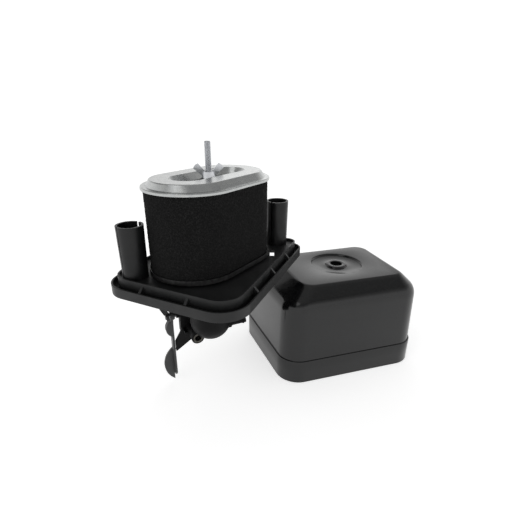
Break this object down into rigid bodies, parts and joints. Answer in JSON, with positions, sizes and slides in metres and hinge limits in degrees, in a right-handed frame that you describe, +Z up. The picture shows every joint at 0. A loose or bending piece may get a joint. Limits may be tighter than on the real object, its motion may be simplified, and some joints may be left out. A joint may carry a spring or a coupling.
{
  "type": "air filter housing",
  "caption": "Air filter housing for a small engine: tray with two inlet tubes, intake elbow and choke lever, foam-wrapped filter on a stud with a wing nut, and a deep glossy cover.",
  "frame": {"origin": "centre of the bore in the face of the flange that bolts to the carburettor", "axes": "+Y out of the flange towards the carburettor, +Z up along the filter stud, +X across the flange towards the cover"},
  "size_m": [0.3363, 0.1867, 0.2547],
  "materials": {
    "black_plastic": "satin moulded black",
    "gloss_cover": "glossy black",
    "galvanised": "galvanised sheet",
    "zinc": "bright zinc plate",
    "dark_steel": "blackened",
    "brass": "turned",
    "foam": "open-cell foam",
    "paper": "pleated filter paper",
    "rubber": "moulded rubber",
    "gasket": "gasket paper"
  },
  "bodies": {
    "base": {"base_tray": "black_plastic", "inlet_tube_left": "black_plastic", "inlet_tube_right": "black_plastic", "intake_elbow": "black_plastic", "elbow_gasket": "gasket", "elbow_screws": "zinc", "mounting_sleeves": "zinc", "carburettor_gasket": "gasket", "filter_stud": "zinc", "stud_insert": "brass", "choke_pivot_pin": "zinc", "pivot_washer": "zinc", "pivot_clip": "zinc"},
    "choke": {"choke_lever": "black_plastic"},
    "filter": {"filter_top_plate": "galvanised", "filter_bottom_plate": "galvanised", "foam_sleeve": "foam", "paper_element": "paper", "inner_core": "galvanised", "filter_seal": "foam", "stud_grommet": "rubber"},
    "washer": {"nut_washer": "dark_steel"},
    "nut": {"wing_nut": "zinc"},
    "cover": {"cover_shell": "gloss_cover"}
  },
  "joints": [
    {"name": "choke_swing", "type": "hinge", "parent": "base", "child": "choke", "pos_m": [-0.0405, -0.0035, 0.002], "axis": [-1, 0, 0], "range_deg": [0, 50]},
    {"name": "filter_lift", "type": "slide", "parent": "base", "child": "filter", "axis": [0, 0, 1], "range_m": [0, 0.112]},
    {"name": "nut_rise", "type": "slide", "parent": "filter", "child": "washer", "axis": [0, 0, 1], "range_m": [0, 0.0301]},
    {"name": "nut_spin", "type": "hinge", "parent": "washer", "child": "nut", "pos_m": [0, -0.022, 0.1425], "axis": [0, 0, 1], "range_deg": [0, 10800]},
    {"name": "cover_away", "type": "slide", "parent": "base", "child": "cover", "axis": [1, 0, 0], "range_m": [0, 0.12]}
  ],
  "couplings": [
    {"joint": "nut_rise", "follows": "nut_spin", "m_per_rad": 0.00015915}
  ]
}
